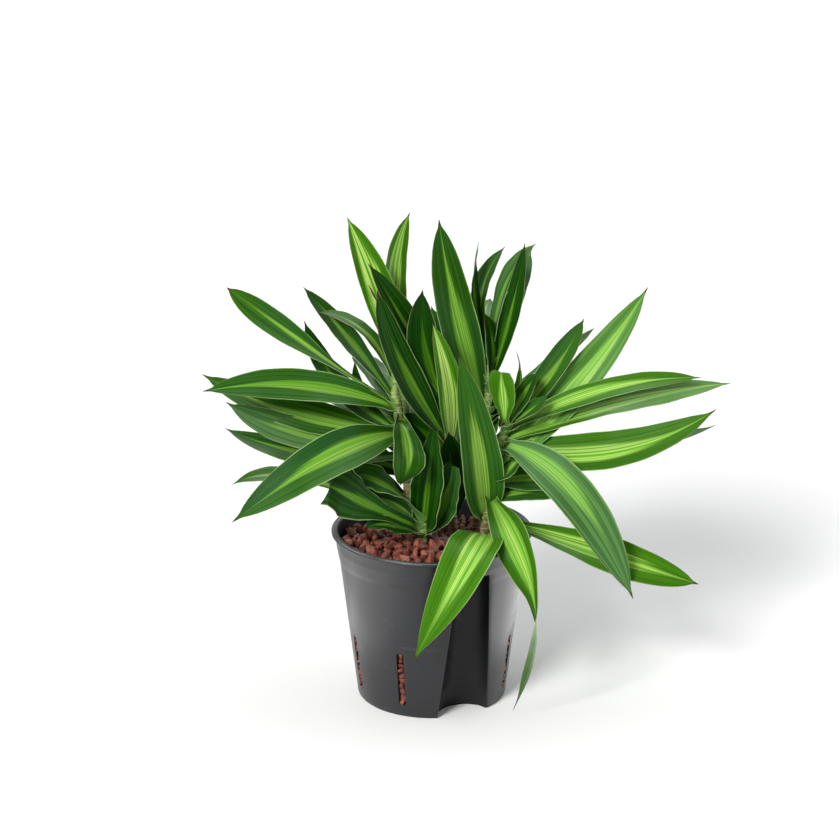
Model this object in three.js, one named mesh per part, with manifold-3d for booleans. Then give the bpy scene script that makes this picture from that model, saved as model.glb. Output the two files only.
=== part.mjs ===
// Potted Song of Jamaica dracaena: a ribbed-leaf house plant grown from cuttings in clay granules.
// Millimetres, +Z up. The origin is the middle of the pot's flat base and -Y is the front.
import * as THREE from "three";
import { mergeVertices } from "three/addons/utils/BufferGeometryUtils.js";
import Module from "manifold-3d";

const wasm = await Module();
wasm.setup();

// Driving dimensions of the pot
const potHeight = 190;
const rimRadius = 110;
const lipHeight = 3.6;
const bandRadius = 105;
const bandDrop = 18;
const shoulderDrop = 31;
const shoulderRadius = 101.5;
const baseRadius = 82;
const wall = 2.2;
const floorThickness = 2.5;
const potSides = 56;

// Driving dimensions of the gauge recess and the root slits, angles from the front towards +X
const recessAngle = 26;
const recessTop = 168;
const recessFoot = { distance: 84.8, radius: 31.5 };
const recessHead = { distance: 99.5, radius: 18 };
const slitAngles = [-22.5, -67.5, -112.5, -157.5, 157.5, 112.5, 70];
const slitWidth = 7.8;
const slitHeight = 62;
const slitFoot = 14;

// Driving dimensions of the granule bed
const fit = 0.3;
const weld = 0.01;
const bedEdgeDepth = 23;
const bedCrown = 6;
const bedCrownRadius = 60;
const pebbleCount = 150;
const pebbleRadius = 8;
const pebbleRise = 0.55;
const stemDepth = 45;
const stemFoot = potHeight - bedEdgeDepth - stemDepth;

// Driving dimensions of the stems and leaves
const caneFootRadius = 5.2;
const caneTopRadius = 4.4;
const caneSides = 8;
const ribThickness = 1.6;
const edgeThickness = 0.9;
const channel = 0.28;
const waveHeight = 0.045;
const belly = 0.48;
const waveCount = 1.6;
const bladeStations = [0, 0.09, 0.2, 0.33, 0.46, 0.59, 0.71, 0.82, 0.92, 1];
const shortBladeStations = [0, 0.18, 0.38, 0.6, 0.8, 0.95, 1];
const shortBlade = 116;
const bladeOutline = [
  [0, 0.24],
  [0.09, 0.38],
  [0.2, 0.68],
  [0.33, 0.92],
  [0.48, 1],
  [0.62, 0.95],
  [0.76, 0.77],
  [0.88, 0.46],
  [0.95, 0.2],
  [1, 0.04],
];

// Each stem: its foot in the granules, its bends as [x, y, height] from that foot, and its leaves.
// A leaf is [root height, heading, reach, rise, arch, bow, width, root turn, tip turn, crest, sway, belly]:
// heading is the compass direction it grows in (0 is +X, -90 the front), reach and rise place its tip
// from its root, arch and bow lift and swing its middle, crest is how far out the arch stands, the
// turns roll the blade about its rib, sway bends it in an S, and belly is how far out it is widest.
const stems = {
  left_stem: {
    foot: [-20, 14],
    bends: [
      [0, 0, 175],
      [-13, 0, 290],
      [-20, 2, 340],
      [-18, 4, 392],
    ],
    leaves: [
      [326, 172, 185, 125, -1, 8, 28, 0, 70, 0.5, 0, 0.72],
      [296, 152, 120, 110, -16, 8, 30, 25, 25, 0.5],
      [323, -170, 210, 30, 17, 3, 36, 55, 55, 0.5],
      [296, 171, 220, 55, -10, 8, 40, 45, 45, 0.5],
      [286, -179, 190, 45, -16, 4, 42, 40, 40, 0.55],
      [269, 170, 200, 20, -12, 8, 32, 35, 35, 0.55],
      [295, -153, 200, -70, 28, 28, 48, 45, 45, 0.45, 0, 0.45],
      [188, 174, 200, 40, 24, -3, 30, 0, 20, 0.75],
      [329, 152, 115, 115, -4, -10, 30, 0, 20, 0.6],
      [348, 153, 95, 70, 16, -12, 22, 0, 15, 0.65],
      [295, 150, 58, 74, -16, 2, 14, 45, 45, 0.55],
      [315, -88, 65, -58, 24, 8, 40, 30, 30, 0.95],
      [215, 165, 110, 35, 6, 0, 34, 55, 55, 0.5],
      [248, 160, 125, 12, 8, 0, 40, 50, 50, 0.45],
      [260, 135, 140, 50, 16, 0, 32, 0, 10, 0.5],
    ],
  },
  low_shoot: {
    foot: [-10, -10],
    wave: 0.12,
    bends: [
      [0, 0, 178],
      [2, -2, 205],
    ],
    leaves: [
      [204, -175, 90, 50, 16, -1, 30, 0, 60, 0.8],
      [196, 175, 80, 25, 12, -3, 28, 0, 35, 0.65],
      [192, -150, 128, 80, -2, 0, 52, 60, 60, 0.7, 0, 0.68],
      [187, -136, 85, 30, 4, -2, 22, 30, 30, 0.75],
      [190, -40, 16, 135, -4, -4, 38, -100, -100, 0.45, 0, 0.3],
      [187, 2, 32, 89, -8, 0, 38, -55, -55, 0.5, 0, 0.45],
    ],
  },
  right_stem: {
    foot: [57, 8],
    bends: [
      [0, 0, 175],
      [5, 0, 230],
      [16, 0, 268],
      [22, 0, 304],
    ],
    leaves: [
      [302, -104, 28, 80, -1, 2, 32, -165, -165, 0.55, 0, 0.62],
      [302, 44, 16, 85, -8, -6, 18, 0, 45, 0.6],
      [302, -22, 36, 65, 1, 0, 24, -55, -55, 0.8],
      [302, 8, 85, 120, -5, 0, 28, -50, -50, 0.6],
      [255, 13, 168, 195, -2, -16, 40, -55, -55, 0.55, 0, 0.42],
      [300, -5, 210, 65, 16, -4, 26, -40, -40, 0.55],
      [288, 0, 245, 65, 12, -8, 40, -25, -25, 0.55],
      [280, -9, 230, 55, -21, -12, 42, -55, -55, 0.55, 0, 0.4],
      [285, -29, 160, -150, 42, -24, 46, -45, -45, 0.35],
      [202, -13, 235, -60, 9, -24, 42, -10, -65, 0.6, 0, 0.5],
      [225, -74, 95, -215, 92, 6, 40, 5, -150, 0.35, -8, 0.4],
      [176, -120, 155, -90, 71, 40, 54, -8, 30, 0.41, 0, 0.42],
      [242, -26, 40, 40, -3, -2, 30, -35, -35, 0.6],
      [239, 8, 90, -5, 6, 0, 32, -45, -50, 0.6],
      [219, 1, 90, 8, 8, -1, 28, -40, -45, 0.6],
      [300, 10, 95, 40, 10, 3, 20, 0, 10, 0.65],
      [302, -27, 50, 45, -2, -6, 18, 0, -75, 0.6],
      [196, -135, 45, 200, -4, 12, 46, 115, 115, 0.55, 0, 0.3],
    ],
  },
  centre_stem: {
    foot: [24, 32],
    bends: [
      [0, 0, 175],
      [-8, 0, 335],
    ],
    leaves: [
      [324, 178, 85, 155, 4, -1, 32, 50, 50, 0.5],
      [280, -155, 85, 180, -12, 3, 34, 80, 80, 0.55],
      [309, -156, 30, 145, -12, -1, 36, 95, 95, 0.6],
      [269, -119, 40, 155, -3, 12, 30, 120, 120, 0.5],
      [190, -100, 30, 110, 4, 0, 36, 150, 150, 0.5],
      [186, -75, 36, 60, 4, 0, 26, 150, 150, 0.5],
      [255, 178, 55, 55, 4, 0, 36, 55, 55, 0.5],
      [328, 115, 40, 95, 4, 0, 30, 0, 0, 0.5],
      [300, 90, 70, 85, 10, 0, 30, 0, 0, 0.5],
      [270, 95, 90, 60, 12, 0, 30, 0, 0, 0.5],
    ],
  },
  back_right_stem: {
    foot: [50, 45],
    bends: [
      [0, 0, 175],
      [16, 3, 378],
    ],
    leaves: [
      [335, 67, 45, 150, 6, 20, 34, 35, 35, 0.65],
      [298, -163, 55, 230, -6, -2, 44, 85, 85, 0.55],
      [344, 114, 30, 150, -6, 8, 22, 0, -70, 0.65],
      [350, 14, 50, 145, 16, 4, 30, 0, -20, 0.7],
      [338, -26, 40, 165, -4, 1, 24, -75, -75, 0.55],
      [333, -131, 10, 90, 2, 8, 26, 90, 90, 0.65],
      [310, 11, 120, 88, -2, 1, 24, 0, -10, 0.7],
      [268, -1, 255, 27, -16, -8, 30, 0, -15, 0.5],
      [366, 58, 85, 105, 8, -6, 28, 0, 15, 0.5],
      [340, 88, 140, 60, 16, 8, 32, 10, -10, 0.5],
      [302, 50, 180, -5, 16, -8, 36, -10, 10, 0.4],
      [292, 24, 160, 22, 22, 4, 34, 0, 0, 0.45],
      [276, 78, 165, -35, 42, 8, 34, 12, -15, 0.4],
      [254, 38, 125, 15, 20, -8, 34, 0, 15, 0.45],
      [238, 104, 110, 20, 16, 4, 30, -12, 0, 0.5],
      [216, 66, 155, -50, 40, -6, 34, 8, 8, 0.4],
      [202, 96, 90, 10, 16, 4, 28, 0, -12, 0.45],
      [262, 90, 14, 78, 0, 0, 34, 0, 0, 0.5],
    ],
  },
  back_left_stem: {
    foot: [-14, 50],
    bends: [
      [0, 0, 175],
      [-18, 2, 356],
    ],
    leaves: [
      [354, 173, 60, 170, 4, -3, 36, 65, 65, 0.5],
      [352, 79, 40, 170, -1, 15, 30, -45, -45, 0.6],
      [344, 98, 95, 95, 8, 6, 30, 0, 20, 0.5],
      [303, 120, 85, 35, 10, -6, 28, 20, 10, 0.5],
      [300, 112, 165, 30, 20, 10, 36, 10, -10, 0.4],
      [280, 92, 175, -30, 42, 6, 36, -10, 15, 0.4],
      [256, 128, 150, 25, 18, -10, 34, 15, 0, 0.5],
      [236, 106, 120, 5, 22, 8, 30, 0, -20, 0.45],
      [212, 84, 150, -45, 38, -6, 34, 10, -10, 0.4],
      [262, 150, 110, 10, 8, 0, 34, 0, 0, 0.5],
      [332, 76, 120, 50, 20, -8, 32, -15, 10, 0.5],
      [350, 172, 40, 105, 4, 0, 28, 0, 0, 0.5],
    ],
  },
};

const radians = THREE.MathUtils.degToRad;

// The x and y of a place given by its angle from the front and its distance from the axis
function around(angle, distance) {
  return [distance * Math.sin(radians(angle)), -distance * Math.cos(radians(angle))];
}

// A value read along a list of [place, value] pairs
function along(pairs, place) {
  let i = 1;
  while (i < pairs.length - 1 && place > pairs[i][0]) i += 1;
  const [[a, from], [b, to]] = [pairs[i - 1], pairs[i]];
  return THREE.MathUtils.mapLinear(place, a, b, from, to);
}

// A closed geometry as a solid that can be joined and cut
function solid(geometry) {
  geometry.deleteAttribute("normal");
  geometry.deleteAttribute("uv");
  const merged = mergeVertices(geometry, 1e-4);
  return new wasm.Manifold(
    new wasm.Mesh({
      numProp: 3,
      vertProperties: merged.getAttribute("position").array,
      triVerts: new Uint32Array(merged.index.array),
    }),
  );
}

// A solid's surface, where corners nearer than the weld distance become one and their faces go
function geometryOf(body) {
  const { vertProperties, triVerts } = body.getMesh();
  const surface = new THREE.BufferGeometry();
  surface.setAttribute("position", new THREE.BufferAttribute(vertProperties, 3));
  surface.setIndex(new THREE.BufferAttribute(triVerts, 1));
  const geometry = mergeVertices(surface, weld);
  const corners = geometry.index.array;
  const kept = [];
  for (let i = 0; i < corners.length; i += 3) {
    const [a, b, c] = corners.slice(i, i + 3);
    if (a !== b && b !== c && c !== a) kept.push(a, b, c);
  }
  geometry.setIndex(kept);
  geometry.computeVertexNormals();
  return geometry;
}

function revolved(profile) {
  const points = profile.map(([radius, height]) => new THREE.Vector2(radius, height));
  return solid(new THREE.LatheGeometry(points, potSides).rotateX(Math.PI / 2));
}

// Rings of equally many points, each ring anticlockwise seen from the ring after it, skinned and capped
function lofted(rings) {
  const size = rings[0].length;
  const points = rings.flat();
  const faces = [];
  for (let ring = 0; ring < rings.length - 1; ring += 1) {
    for (let i = 0; i < size; i += 1) {
      const a = ring * size + i;
      const b = ring * size + ((i + 1) % size);
      faces.push([a, b, b + size], [a, b + size, a + size]);
    }
  }
  const last = points.length - size;
  for (let i = 1; i < size - 1; i += 1) {
    faces.push([0, i + 1, i], [last, last + i, last + i + 1]);
  }
  const geometry = new THREE.BufferGeometry().setFromPoints(points);
  geometry.setIndex(faces.flat());
  return geometry;
}

function circle(x, y, z, radius, sides) {
  return Array.from({ length: sides }, (_, i) => {
    const angle = (2 * Math.PI * i) / sides;
    return new THREE.Vector3(x + radius * Math.cos(angle), y + radius * Math.sin(angle), z);
  });
}

// The recess that takes a water-level gauge, grown by the given margin
function recess(margin, from) {
  const { distance: near, radius: wide } = recessFoot;
  const { distance: far, radius: narrow } = recessHead;
  const to = recessTop + margin;
  const ring = (z) => {
    const distance = THREE.MathUtils.mapLinear(z, 0, recessTop, near, far);
    const radius = THREE.MathUtils.mapLinear(z, 0, recessTop, wide, narrow) + margin;
    return circle(...around(recessAngle, distance), z, radius, 40);
  };
  return solid(lofted([ring(from), ring(to)]));
}

const outside = [
  [baseRadius, 0],
  [shoulderRadius, potHeight - shoulderDrop],
  [bandRadius - 0.6, potHeight - bandDrop],
  [bandRadius, potHeight - lipHeight],
];
const inside = [
  [baseRadius - wall, floorThickness],
  [shoulderRadius - wall, potHeight - shoulderDrop],
  [bandRadius - 0.6 - wall, potHeight - bandDrop],
  [bandRadius - wall, potHeight],
];
const insideRadius = (z) => along(inside.map(([radius, height]) => [height, radius]), z);

function culturePot() {
  const body = revolved([
    [0, 0],
    ...outside,
    [rimRadius, potHeight - lipHeight + 0.6],
    [rimRadius, potHeight],
    [0, potHeight],
  ]).subtract(recess(0, -1));
  const hollow = revolved([
    [0, floorThickness],
    ...inside,
    [bandRadius - wall, potHeight + 1],
    [0, potHeight + 1],
  ]).subtract(recess(wall, -1));
  let pot = body.subtract(hollow);
  for (const angle of slitAngles) {
    const slit = new THREE.BoxGeometry(slitWidth, 40, slitHeight);
    const [x, y] = around(angle, baseRadius + 5);
    slit.rotateZ(radians(angle)).translate(x, y, slitFoot + slitHeight / 2);
    pot = pot.subtract(solid(slit));
  }
  return geometryOf(pot);
}

// Granules lie in a sunflower pattern and the bed's top rises over each of them
const goldenAngle = Math.PI * (3 - Math.sqrt(5));
const pebbles = Array.from({ length: pebbleCount }, (_, i) => {
  const distance = 95 * Math.sqrt((i + 0.5) / pebbleCount);
  return [distance * Math.cos(i * goldenAngle), distance * Math.sin(i * goldenAngle)];
});

function bedTop(x, y) {
  const ground = potHeight - bedEdgeDepth + bedCrown * Math.exp(-(x * x + y * y) / bedCrownRadius ** 2);
  const nearest = Math.min(...pebbles.map(([px, py]) => Math.hypot(x - px, y - py)));
  const dome = Math.sqrt(Math.max(0, pebbleRadius ** 2 - nearest ** 2));
  return ground + pebbleRise * dome;
}

function granules() {
  const sides = 36;
  const rings = 10;
  const foot = floorThickness + fit;
  const edge = potHeight - bedEdgeDepth;
  const ring = (radius, z) => circle(0, 0, z, radius, sides);
  const layers = [ring(1, foot)];
  for (const z of [foot, potHeight - shoulderDrop, edge]) layers.push(ring(insideRadius(z) - fit, z));
  for (let i = rings - 1; i > 0; i -= 1) {
    const layer = ring(((insideRadius(edge) - fit) * i) / rings, 0);
    layer.forEach((point) => point.setZ(bedTop(point.x, point.y)));
    layers.push(layer);
  }
  let bed = solid(lofted(layers)).subtract(recess(wall + fit, -1));
  for (const { foot: place } of Object.values(stems)) {
    const hole = [stemFoot - fit, potHeight + 10].map((z) => circle(...place, z, caneFootRadius + fit, 16));
    bed = bed.subtract(solid(lofted(hole)));
  }
  return geometryOf(bed);
}

// The middle of a stem at a height, measured from its foot
function stemMiddle(bends, z) {
  const x = along([[0, 0], ...bends.map((bend) => [bend[2], bend[0]])], z);
  const y = along([[0, 0], ...bends.map((bend) => [bend[2], bend[1]])], z);
  return new THREE.Vector3(x, y, z);
}

function cane(bends) {
  const heights = [stemFoot, ...bends.map((bend) => bend[2])];
  const top = heights.at(-1);
  const rings = heights.map((z) => {
    const { x, y } = stemMiddle(bends, z);
    const radius = THREE.MathUtils.mapLinear(z, stemFoot, top, caneFootRadius, caneTopRadius);
    return circle(x, y, z, radius, caneSides);
  });
  const { x, y } = stemMiddle(bends, top);
  rings.push(circle(x, y, top + 2.5, caneTopRadius * 0.5, caneSides));
  return solid(lofted(rings));
}

// Places along a leaf's rib, each with its sideways and upward directions
function ribFrames(root, leaf) {
  const [, heading, reach, rise, arch, bow, , rootTurn, tipTurn, crest, sway = 0] = leaf;
  const angle = radians(heading);
  const out = new THREE.Vector3(Math.cos(angle), Math.sin(angle), 0);
  const side = new THREE.Vector3(-Math.sin(angle), Math.cos(angle), 0);
  const chord = out.clone().multiplyScalar(reach).setZ(rise);
  const up = new THREE.Vector3().crossVectors(chord, side).normalize();
  if (up.z < 0) up.negate();
  const bend = chord.clone().multiplyScalar(crest);
  bend.addScaledVector(up, 2 * arch).addScaledVector(side, 2 * bow);
  const stations = chord.length() < shortBlade ? shortBladeStations : bladeStations;
  return stations.map((t) => {
    const swing = sway * Math.sin(2 * Math.PI * t);
    const lean = 2 * Math.PI * sway * Math.cos(2 * Math.PI * t);
    const place = root.clone().addScaledVector(bend, 2 * t * (1 - t));
    place.addScaledVector(chord, t * t).addScaledVector(side, swing);
    const ahead = bend.clone().multiplyScalar(2 - 4 * t).addScaledVector(chord, 2 * t);
    ahead.addScaledVector(side, lean).normalize();
    const across = side.clone().negate().addScaledVector(ahead, ahead.dot(side)).normalize();
    const turn = radians(THREE.MathUtils.lerp(rootTurn, tipTurn, t * t * (3 - 2 * t)));
    across.applyAxisAngle(ahead, -turn);
    return { t, place, across, above: across.clone().cross(ahead) };
  });
}

// A blade with a channelled, waved upper face and the same face below it
function blade({ bends, wave: high = waveHeight }, leaf, index) {
  const width = leaf[6];
  const spread = Math.log(belly) / Math.log(leaf[11] ?? belly);
  const rings = ribFrames(stemMiddle(bends, leaf[0]), leaf).map(({ t, place, across, above }) => {
    const half = (along(bladeOutline, t ** spread) * width) / 2;
    const lift = channel * (1 - 0.6 * t) * half;
    const wave = (phase) =>
      high * half * 2 * Math.sin(2 * Math.PI * waveCount * t + index * 2.4 + phase);
    const at = (sideways, upward) =>
      place.clone().addScaledVector(across, sideways).addScaledVector(above, upward);
    const left = lift + wave(0);
    const right = lift + wave(2);
    return [
      at(-half, left),
      at(0, 0),
      at(half, right),
      at(half, right - edgeThickness),
      at(0, -ribThickness),
      at(-half, left - edgeThickness),
    ];
  });
  return solid(lofted(rings));
}

// The leaves fused to their cane, with the small pockets shut in between crossing blades filled
function leafyStem(stem) {
  let body = cane(stem.bends);
  stem.leaves.forEach((leaf, index) => {
    body = body.add(blade(stem, leaf, index));
  });
  const [skin] = body.decompose().sort((a, b) => b.volume() - a.volume());
  return geometryOf(skin);
}

const plant = new THREE.Group();

function place(name, geometry, colour, roughness, [x, y] = [0, 0]) {
  const material = new THREE.MeshStandardMaterial({ color: colour, roughness, metalness: 0 });
  const mesh = new THREE.Mesh(geometry, material);
  mesh.name = name;
  mesh.position.set(x, y, 0);
  plant.add(mesh);
}

place("culture_pot", culturePot(), 0x4b4d52, 0.45);
place("granules", granules(), 0x82463c, 0.95);
for (const [name, stem] of Object.entries(stems)) {
  place(name, leafyStem(stem), 0x5b9434, 0.5, stem.foot);
}

export default plant;
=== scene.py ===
import math
import random
from collections import namedtuple

import bmesh
import bpy
import numpy as np
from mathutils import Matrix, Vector, noise


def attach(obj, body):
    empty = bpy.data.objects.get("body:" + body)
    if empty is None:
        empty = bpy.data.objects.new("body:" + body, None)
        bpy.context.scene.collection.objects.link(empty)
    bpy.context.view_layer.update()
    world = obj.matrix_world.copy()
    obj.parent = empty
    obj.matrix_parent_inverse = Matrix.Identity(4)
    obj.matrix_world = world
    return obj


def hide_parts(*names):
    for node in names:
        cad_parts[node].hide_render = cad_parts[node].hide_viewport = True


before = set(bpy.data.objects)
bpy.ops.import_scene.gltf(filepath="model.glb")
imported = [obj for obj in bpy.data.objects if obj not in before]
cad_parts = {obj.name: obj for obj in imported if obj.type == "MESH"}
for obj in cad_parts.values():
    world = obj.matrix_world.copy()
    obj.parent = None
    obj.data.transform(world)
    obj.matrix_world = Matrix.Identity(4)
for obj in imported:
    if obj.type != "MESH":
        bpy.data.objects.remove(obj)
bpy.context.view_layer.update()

MM = 0.001

# Sizes of the pot
POT_HEIGHT = 190
RIM_RADIUS = 110
LIP_HEIGHT = 3.6
BAND_RADIUS = 105
BAND_TAPER = 0.6
BAND_DROP = 18
SHOULDER_DROP = 31
SHOULDER_RADIUS = 101.5
BASE_RADIUS = 82
WALL = 2.2
FLOOR_THICKNESS = 2.5

# The gauge recess and the root slits, at angles from the front towards +X
RECESS_ANGLE = 26
RECESS_TOP = 168
RECESS_FOOT = {"distance": 84.8, "radius": 31.5}
RECESS_HEAD = {"distance": 99.5, "radius": 18}
SLIT_ANGLES = [-22.5, -67.5, -112.5, -157.5, 157.5, 112.5, 70]
SLIT_WIDTH = 7.8
SLIT_HEIGHT = 62
SLIT_FOOT = 14
SLIT_TOP = SLIT_FOOT + SLIT_HEIGHT

# The pot's rounded edges, by their width and the least angle that is rounded, and how near points merge
BEVEL = 0.6
BEVEL_ANGLE = 50
MERGE_DISTANCE = 0.02

# The clay granules
BED_EDGE = POT_HEIGHT - 23
BED_CROWN = 6
BED_CROWN_RADIUS = 60
BED_RADIUS = 99
HEAPS = [{"at": (-22, -2), "height": 6, "radius": 26}, {"at": (-92, -18), "height": 9, "radius": 45}]
STONE_RADIUS = 6.2
STONE_SHAPES = 14
TOP_STONES = 330
LOOSE_STONES = 130
SLIT_STONE_RADII = (3.4, 5.0)
CORE_DEPTH = 5

# The canes and leaves, with the angle in radians by which a leaf's foot wraps its cane on each side
CANE_FOOT_RADIUS = 5.2
CANE_TOP_RADIUS = 4.4
CANE_START = 150
CANE_SIDES = 20
SCAR_SPACING = 6.2
SCAR_HEIGHT = 0.45
SCAR_HOLLOW = 0.25
SCAR_TILT = 0.9
BLADE_THICKNESS = 0.45
RIB_THICKNESS = 0.6
CHANNEL = 0.28
WAVE_HEIGHT = 0.045
WAVE_COUNT = 1.6
WAVE_SHIFT = 2.4
BELLY = 0.48
FOLD_LENGTH = 0.07
SHEATH_LENGTH = 15
SHEATH_WRAP = 2.3
USUAL_FRESHNESS = 0.35

# Places across half a leaf where its mesh has columns, as shares of the half width
BLADE_COLUMNS = [0.16, 0.32, 0.5, 0.68, 0.84, 0.95, 1]

# A leaf's outline, as (share of its length, share of its half width)
BLADE_OUTLINE = [
    (0, 0.24),
    (0.09, 0.38),
    (0.2, 0.68),
    (0.33, 0.92),
    (0.48, 1),
    (0.62, 0.95),
    (0.76, 0.77),
    (0.87, 0.5),
    (0.93, 0.27),
    (0.96, 0.11),
    (0.98, 0.055),
    (1, 0.012),
]

# A leaf's heading, how far it reaches and rises, its bends upwards and sideways, its width, how it is turned
# at both ends, where it bends most, how it sways, and its belly, which is how far out it is widest
Leaf = namedtuple(
    "Leaf",
    "root_height heading reach rise arch bow width root_turn tip_turn crest sway belly",
    defaults=(0, BELLY),
)

# Each stem as in the CAD source: its foot in the granules, its bends as (x, y, height) from that foot, and
# the values of its leaves
STEMS = {
    "left_stem": {
        "foot": (-20, 14),
        "bends": [(0, 0, 175), (-13, 0, 290), (-20, 2, 340), (-18, 4, 392)],
        "leaves": [
            (326, 172, 185, 125, -1, 8, 28, 0, 70, 0.5, 0, 0.72),
            (296, 152, 120, 110, -16, 8, 30, 25, 25, 0.5),
            (323, -170, 210, 30, 17, 3, 36, 55, 55, 0.5),
            (296, 171, 220, 55, -10, 8, 40, 45, 45, 0.5),
            (286, -179, 190, 45, -16, 4, 42, 40, 40, 0.55),
            (269, 170, 200, 20, -12, 8, 32, 35, 35, 0.55),
            (295, -153, 200, -70, 28, 28, 48, 45, 45, 0.45, 0, 0.45),
            (188, 174, 200, 40, 24, -3, 30, 0, 20, 0.75),
            (329, 152, 115, 115, -4, -10, 30, 0, 20, 0.6),
            (348, 153, 95, 70, 16, -12, 22, 0, 15, 0.65),
            (295, 150, 58, 74, -16, 2, 14, 45, 45, 0.55),
            (315, -88, 65, -58, 24, 8, 40, 30, 30, 0.95),
            (215, 165, 110, 35, 6, 0, 34, 55, 55, 0.5),
            (248, 160, 125, 12, 8, 0, 40, 50, 50, 0.45),
            (260, 135, 140, 50, 16, 0, 32, 0, 10, 0.5),
        ],
    },
    "low_shoot": {
        "foot": (-10, -10),
        "wave": 0.12,
        "bends": [(0, 0, 178), (2, -2, 205)],
        "leaves": [
            (204, -175, 90, 50, 16, -1, 30, 0, 60, 0.8),
            (196, 175, 80, 25, 12, -3, 28, 0, 35, 0.65),
            (192, -150, 128, 80, -2, 0, 52, 60, 60, 0.7, 0, 0.68),
            (187, -136, 85, 30, 4, -2, 22, 30, 30, 0.75),
            (190, -40, 16, 135, -4, -4, 38, -100, -100, 0.45, 0, 0.3),
            (187, 2, 32, 89, -8, 0, 38, -55, -55, 0.5, 0, 0.45),
        ],
    },
    "right_stem": {
        "foot": (57, 8),
        "bends": [(0, 0, 175), (5, 0, 230), (16, 0, 268), (22, 0, 304)],
        "leaves": [
            (302, -104, 28, 80, -1, 2, 32, -165, -165, 0.55, 0, 0.62),
            (302, 44, 16, 85, -8, -6, 18, 0, 45, 0.6),
            (302, -22, 36, 65, 1, 0, 24, -55, -55, 0.8),
            (302, 8, 85, 120, -5, 0, 28, -50, -50, 0.6),
            (255, 13, 168, 195, -2, -16, 40, -55, -55, 0.55, 0, 0.42),
            (300, -5, 210, 65, 16, -4, 26, -40, -40, 0.55),
            (288, 0, 245, 65, 12, -8, 40, -25, -25, 0.55),
            (280, -9, 230, 55, -21, -12, 42, -55, -55, 0.55, 0, 0.4),
            (285, -29, 160, -150, 42, -24, 46, -45, -45, 0.35),
            (202, -13, 235, -60, 9, -24, 42, -10, -65, 0.6, 0, 0.5),
            (225, -74, 95, -215, 92, 6, 40, 5, -150, 0.35, -8, 0.4),
            (176, -120, 155, -90, 71, 40, 54, -8, 30, 0.41, 0, 0.42),
            (242, -26, 40, 40, -3, -2, 30, -35, -35, 0.6),
            (239, 8, 90, -5, 6, 0, 32, -45, -50, 0.6),
            (219, 1, 90, 8, 8, -1, 28, -40, -45, 0.6),
            (300, 10, 95, 40, 10, 3, 20, 0, 10, 0.65),
            (302, -27, 50, 45, -2, -6, 18, 0, -75, 0.6),
            (196, -135, 45, 200, -4, 12, 46, 115, 115, 0.55, 0, 0.3),
        ],
    },
    "centre_stem": {
        "foot": (24, 32),
        "bends": [(0, 0, 175), (-8, 0, 335)],
        "leaves": [
            (324, 178, 85, 155, 4, -1, 32, 50, 50, 0.5),
            (280, -155, 85, 180, -12, 3, 34, 80, 80, 0.55),
            (309, -156, 30, 145, -12, -1, 36, 95, 95, 0.6),
            (269, -119, 40, 155, -3, 12, 30, 120, 120, 0.5),
            (190, -100, 30, 110, 4, 0, 36, 150, 150, 0.5),
            (186, -75, 36, 60, 4, 0, 26, 150, 150, 0.5),
            (255, 178, 55, 55, 4, 0, 36, 55, 55, 0.5),
            (328, 115, 40, 95, 4, 0, 30, 0, 0, 0.5),
            (300, 90, 70, 85, 10, 0, 30, 0, 0, 0.5),
            (270, 95, 90, 60, 12, 0, 30, 0, 0, 0.5),
        ],
    },
    "back_right_stem": {
        "foot": (50, 45),
        "bends": [(0, 0, 175), (16, 3, 378)],
        "leaves": [
            (335, 67, 45, 150, 6, 20, 34, 35, 35, 0.65),
            (298, -163, 55, 230, -6, -2, 44, 85, 85, 0.55),
            (344, 114, 30, 150, -6, 8, 22, 0, -70, 0.65),
            (350, 14, 50, 145, 16, 4, 30, 0, -20, 0.7),
            (338, -26, 40, 165, -4, 1, 24, -75, -75, 0.55),
            (333, -131, 10, 90, 2, 8, 26, 90, 90, 0.65),
            (310, 11, 120, 88, -2, 1, 24, 0, -10, 0.7),
            (268, -1, 255, 27, -16, -8, 30, 0, -15, 0.5),
            (366, 58, 85, 105, 8, -6, 28, 0, 15, 0.5),
            (340, 88, 140, 60, 16, 8, 32, 10, -10, 0.5),
            (302, 50, 180, -5, 16, -8, 36, -10, 10, 0.4),
            (292, 24, 160, 22, 22, 4, 34, 0, 0, 0.45),
            (276, 78, 165, -35, 42, 8, 34, 12, -15, 0.4),
            (254, 38, 125, 15, 20, -8, 34, 0, 15, 0.45),
            (238, 104, 110, 20, 16, 4, 30, -12, 0, 0.5),
            (216, 66, 155, -50, 40, -6, 34, 8, 8, 0.4),
            (202, 96, 90, 10, 16, 4, 28, 0, -12, 0.45),
            (262, 90, 14, 78, 0, 0, 34, 0, 0, 0.5),
        ],
    },
    "back_left_stem": {
        "foot": (-14, 50),
        "bends": [(0, 0, 175), (-18, 2, 356)],
        "leaves": [
            (354, 173, 60, 170, 4, -3, 36, 65, 65, 0.5),
            (352, 79, 40, 170, -1, 15, 30, -45, -45, 0.6),
            (344, 98, 95, 95, 8, 6, 30, 0, 20, 0.5),
            (303, 120, 85, 35, 10, -6, 28, 20, 10, 0.5),
            (300, 112, 165, 30, 20, 10, 36, 10, -10, 0.4),
            (280, 92, 175, -30, 42, 6, 36, -10, 15, 0.4),
            (256, 128, 150, 25, 18, -10, 34, 15, 0, 0.5),
            (236, 106, 120, 5, 22, 8, 30, 0, -20, 0.45),
            (212, 84, 150, -45, 38, -6, 34, 10, -10, 0.4),
            (262, 150, 110, 10, 8, 0, 34, 0, 0, 0.5),
            (332, 76, 120, 50, 20, -8, 32, -15, 10, 0.5),
            (350, 172, 40, 105, 4, 0, 28, 0, 0, 0.5),
        ],
    },
}

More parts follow.
